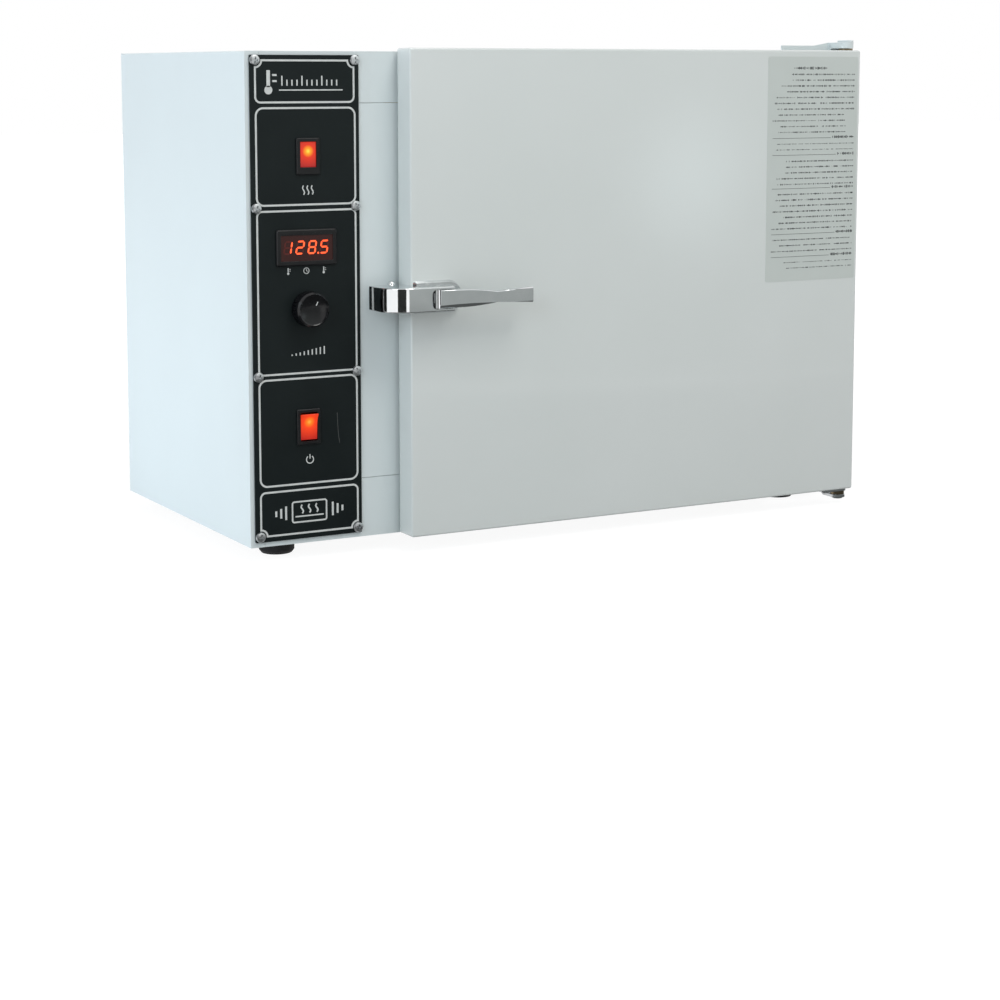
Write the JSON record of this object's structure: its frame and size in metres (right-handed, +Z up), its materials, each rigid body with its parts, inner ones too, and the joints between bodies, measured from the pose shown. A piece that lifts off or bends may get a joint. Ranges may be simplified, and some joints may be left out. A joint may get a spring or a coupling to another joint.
{
  "type": "laboratory oven",
  "caption": "Bench-top laboratory drying oven with a side-hinged insulated door, pull-lever latch, wire shelves, heating element and front control column.",
  "frame": {"origin": "on the floor under the middle of the whole oven's box: feet stand at z = 0", "axes": "+X along the front from the control column towards the hinges, +Y from the door towards the back, +Z up"},
  "size_m": [0.68, 0.4101, 0.49],
  "materials": {
    "white_paint": "smooth powder coat",
    "door_paint": "glossy enamel",
    "zinc": "bright zinc plate",
    "stainless": "fine brushed",
    "mineral_wool": "fibrous",
    "galvanised": "spangled zinc",
    "element_sheath": "heat-darkened",
    "shelf_chrome": "plated wire",
    "black_panel": "fine matte black",
    "black_plastic": "moulded",
    "knob_plastic": "moulded",
    "red_lens": "lit",
    "red_rocker": "lit",
    "smoked_window": "smoked",
    "module_plastic": "moulded",
    "circuit_board": "solder mask",
    "brass_standoff": "turned",
    "core_steel": "varnished laminations",
    "white_nylon": "moulded",
    "foot_rubber": "moulded",
    "seal_silicone": "extruded",
    "brass_bush": "turned",
    "latch_chrome": "polished",
    "spring_steel": "drawn wire"
  },
  "bodies": {
    "cabinet": {"casing_wrap": "white_paint", "base_pan": "white_paint", "back_panel": "white_paint", "rear_screws": "zinc", "top_rail": "white_paint", "bottom_rail": "white_paint", "front_column": "white_paint", "right_stile": "white_paint", "chamber_liner": "stainless", "roof_and_floor_insulation": "mineral_wool", "side_insulation": "mineral_wool", "back_insulation": "mineral_wool", "partition_wall": "galvanised", "heating_element": "element_sheath", "temperature_probe": "stainless", "floor_baffle": "stainless", "shelf_rack_left": "stainless", "shelf_rack_right": "stainless", "wire_shelf_lower": "shelf_chrome", "wire_shelf_upper": "shelf_chrome", "control_panel": "black_panel", "panel_screws": "zinc", "lamp_housing": "black_plastic", "lamp_lens": "red_lens", "display_bezel": "black_plastic", "display_window": "smoked_window", "display_module": "module_plastic", "potentiometer": "galvanised", "switch_housing": "black_plastic", "control_board": "circuit_board", "board_standoffs": "brass_standoff", "transformer": "core_steel", "terminal_block": "white_nylon", "cable_gland": "black_plastic", "gland_nut": "black_plastic", "fuse_holder": "black_plastic", "rubber_feet": "foot_rubber", "foot_screws": "zinc", "top_hinge_bracket": "white_paint", "bottom_hinge_bracket": "zinc", "hinge_pins": "zinc", "hinge_screws": "zinc", "keeper_bracket": "zinc", "keeper_roller": "latch_chrome", "keeper_screws": "zinc"},
    "door": {"door_pan": "door_paint", "door_inner_panel": "stainless", "door_insulation": "mineral_wool", "door_gasket": "seal_silicone", "door_panel_screws": "zinc", "hinge_bushes": "brass_bush", "door_hinge_leaf": "zinc", "latch_housing": "latch_chrome", "latch_pins": "zinc", "latch_spring": "spring_steel"},
    "lever": {"latch_lever": "latch_chrome"},
    "bolt": {"latch_bolt": "zinc"},
    "knob": {"control_knob": "knob_plastic", "potentiometer_shaft": "galvanised"},
    "rocker": {"power_rocker": "red_rocker"}
  },
  "joints": [
    {"name": "door_hinge", "type": "hinge", "parent": "cabinet", "child": "door", "pos_m": [0.3285, -0.164, 0.246], "axis": [0, 0, 1], "range_deg": [0, 180]},
    {"name": "latch_lever", "type": "hinge", "parent": "door", "child": "lever", "pos_m": [-0.166, -0.192, 0.246], "axis": [0, 0, -1], "range_deg": [0, 28], "stiffness_Nm_per_rad": 0.4},
    {"name": "latch_bolt", "type": "hinge", "parent": "door", "child": "bolt", "pos_m": [-0.188, -0.191, 0.246], "axis": [0, 0, 1], "range_deg": [0, 10.2]},
    {"name": "control_knob", "type": "hinge", "parent": "cabinet", "child": "knob", "pos_m": [-0.2805, -0.157, 0.238], "axis": [0, -1, 0], "range_deg": [-150, 150]},
    {"name": "power_rocker", "type": "hinge", "parent": "cabinet", "child": "rocker", "pos_m": [-0.2813, -0.1475, 0.127], "axis": [-1, 0, 0], "range_deg": [0, 14]}
  ],
  "couplings": [
    {"joint": "latch_bolt", "follows": "latch_lever", "ratio": 0.36}
  ]
}
